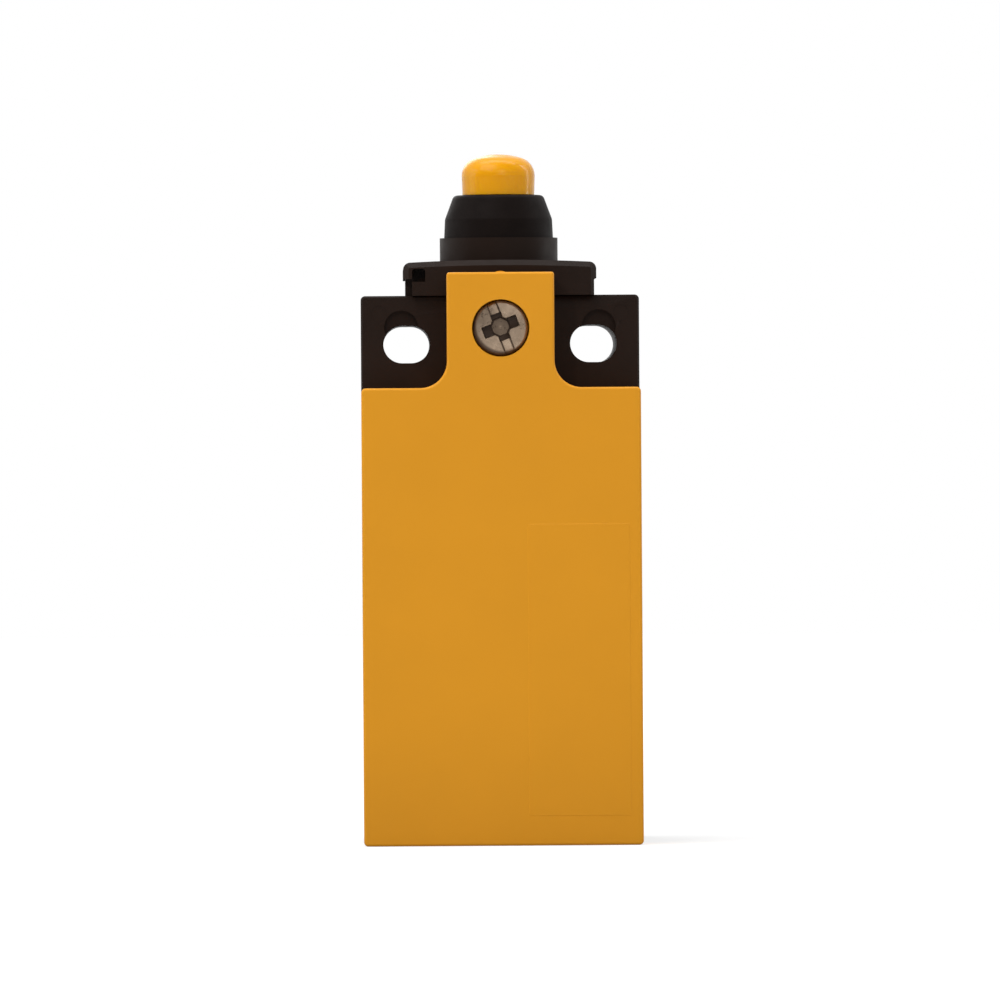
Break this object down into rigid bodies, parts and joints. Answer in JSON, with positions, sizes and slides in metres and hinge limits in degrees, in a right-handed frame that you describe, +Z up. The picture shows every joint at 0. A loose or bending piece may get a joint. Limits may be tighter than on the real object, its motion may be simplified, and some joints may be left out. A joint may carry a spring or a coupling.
{
  "type": "limit switch",
  "caption": "Insulated plastic limit switch with a sealed domed top plunger, slotted ears, a screwed front cover, a slow-action contact block and a threaded bottom cable entry.",
  "frame": {"origin": "on the rear mounting face, midway between the two fixing slots", "axes": "+X to the right seen from the front, +Y to the rear out of the mounting face, +Z up along the plunger towards its cap"},
  "size_m": [0.031, 0.0335, 0.0769],
  "materials": {
    "black_nylon": "fine matte moulded glass-filled nylon",
    "yellow_nylon": "fine matte moulded glass-filled nylon",
    "yellow_acetal": "smooth satin moulding",
    "white_acetal": "smooth moulding",
    "grey_thermoset": "compression-moulded",
    "clear_cover": "smooth moulding",
    "black_rubber": "moulded nitrile rubber",
    "screw_steel": "cold-headed, zinc plated",
    "spring_steel": "drawn wire",
    "brass": "pressed strip and turned bar",
    "silver": "riveted silver alloy"
  },
  "bodies": {
    "housing": {"housing_base": "black_nylon", "front_cover": "yellow_nylon", "cover_gasket": "black_rubber", "cover_screw": "screw_steel", "screw_insert": "brass", "screw_retainer": "white_acetal", "head_plate": "black_nylon", "head_seal": "black_rubber", "rubber_boot": "black_rubber", "contact_block": "grey_thermoset", "block_plate": "clear_cover", "block_screws": "screw_steel", "fixed_contact_nc_left": "brass", "fixed_contact_nc_right": "brass", "fixed_contact_no_left": "brass", "fixed_contact_no_right": "brass", "fixed_tips": "silver", "clamp_plates": "screw_steel", "terminal_screws": "screw_steel", "return_spring": "spring_steel"},
    "plunger": {"plunger_cap": "yellow_acetal", "plunger_rod": "white_acetal", "contact_carrier": "white_acetal", "nc_contact_spring": "spring_steel", "no_contact_spring": "spring_steel"},
    "nc_contact": {"nc_bridge": "brass", "nc_bridge_tips": "silver"},
    "no_contact": {"no_bridge": "brass", "no_bridge_tips": "silver"}
  },
  "joints": [
    {"name": "plunger_slide", "type": "slide", "parent": "housing", "child": "plunger", "axis": [0, 0, -1], "range_m": [0, 0.005], "stiffness_N_per_m": 700, "springref_m": -0.006, "deforming": ["return_spring", "rubber_boot"]},
    {"name": "nc_bridge_slide", "type": "slide", "parent": "plunger", "child": "nc_contact", "axis": [0, 0, 1], "range_m": [0, 0.0018], "deforming": ["nc_contact_spring"]},
    {"name": "no_bridge_slide", "type": "slide", "parent": "plunger", "child": "no_contact", "axis": [0, 0, 1], "range_m": [0, 0.002], "deforming": ["no_contact_spring"]}
  ],
  "couplings": [
    {"joint": "nc_bridge_slide", "follows": "plunger_slide", "ratio": 0.36},
    {"joint": "no_bridge_slide", "follows": "plunger_slide", "ratio": 0.4}
  ]
}
